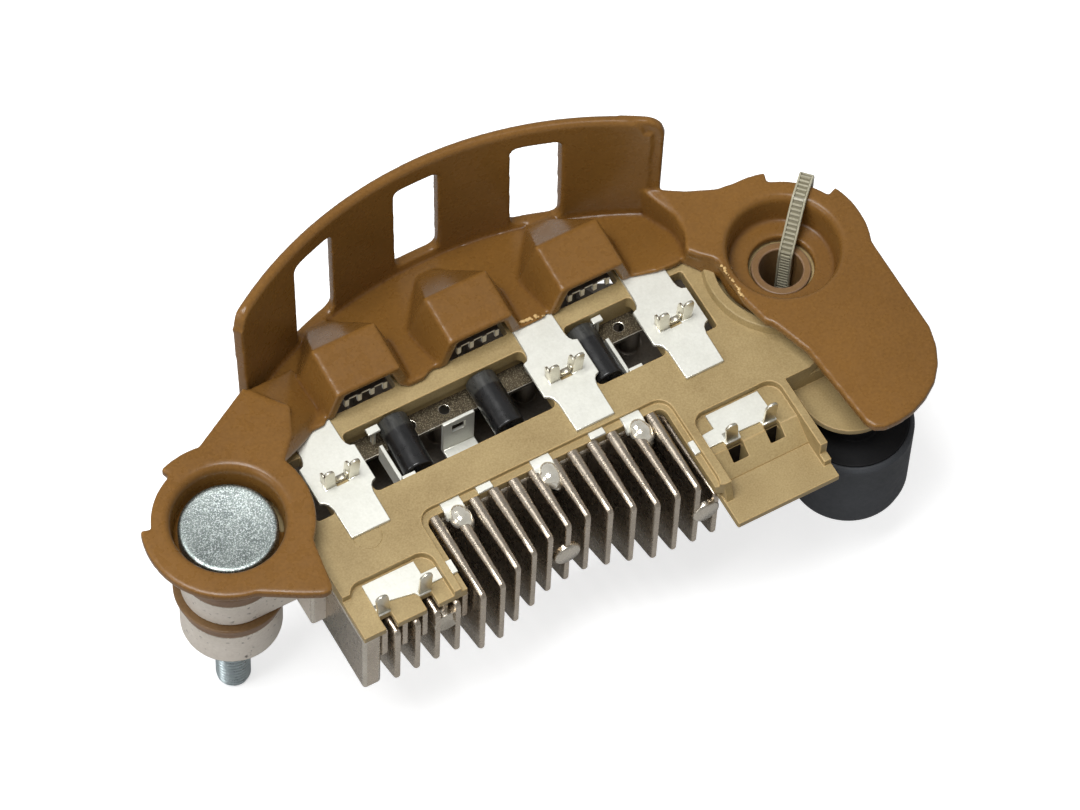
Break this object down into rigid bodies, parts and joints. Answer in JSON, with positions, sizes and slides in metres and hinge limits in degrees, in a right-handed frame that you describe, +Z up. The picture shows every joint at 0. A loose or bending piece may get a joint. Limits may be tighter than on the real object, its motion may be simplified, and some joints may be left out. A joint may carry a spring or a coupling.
{
  "type": "alternator rectifier",
  "caption": "Alternator rectifier: finned cast heat sink under a tan terminal board, with a brown moulded crescent shield, B+ bolt, mounting bush and condenser.",
  "frame": {"origin": "on the axis of the B+ bolt at the seating plane, the underside of the earth heat sink's ring on that bolt", "axes": "+X from the bolt toward the mounting bush, +Y toward the crescent wall, +Z up through the bolt head; the stud points along -Z"},
  "size_m": [0.1353, 0.0725, 0.0746],
  "materials": {
    "shield_plastic": "moulded brown phenolic, satin gloss",
    "board_plastic": "moulded tan, matt",
    "cast_plated": "die cast, plated, slightly rough",
    "zinc_plated": "zinc plated, crystalline",
    "insulator_tan": "moulded, matt",
    "condenser_can": "matt blue-black sleeve",
    "condenser_cap": "matt black",
    "tinned_sheet": "dull white tin",
    "diode_epoxy": "gloss black",
    "speckled_tin": "speckled grey tin",
    "bright_strip": "bright tinned strip",
    "solder": "bright solder",
    "nylon_tie": "translucent nylon"
  },
  "bodies": {
    "root": {"shield_cover": "shield_plastic", "terminal_board": "board_plastic", "positive_heat_sink": "cast_plated", "negative_heat_sink": "cast_plated", "b_plus_bolt": "zinc_plated", "stud_washer": "insulator_tan", "stud_insulating_cup": "insulator_tan", "mounting_bush": "insulator_tan", "condenser_can": "condenser_can", "condenser_cap": "condenser_cap", "phase_terminal_left": "tinned_sheet", "phase_terminal_middle": "tinned_sheet", "phase_terminal_right": "tinned_sheet", "trio_diode_left": "diode_epoxy", "trio_diode_middle": "diode_epoxy", "trio_diode_right": "diode_epoxy", "trio_plate": "speckled_tin", "trio_bracket": "bright_strip", "trio_strip_left": "bright_strip", "trio_strip_right": "bright_strip", "bay_terminal_left": "tinned_sheet", "bay_terminal_right": "tinned_sheet", "diode_lug_left": "bright_strip", "diode_lug_middle": "bright_strip", "diode_lug_right": "bright_strip", "solder_joints": "solder", "edge_contacts": "bright_strip", "negative_diode_left": "bright_strip", "negative_diode_middle": "bright_strip", "negative_diode_right": "bright_strip", "cable_tie": "nylon_tie"}
  },
  "joints": []
}
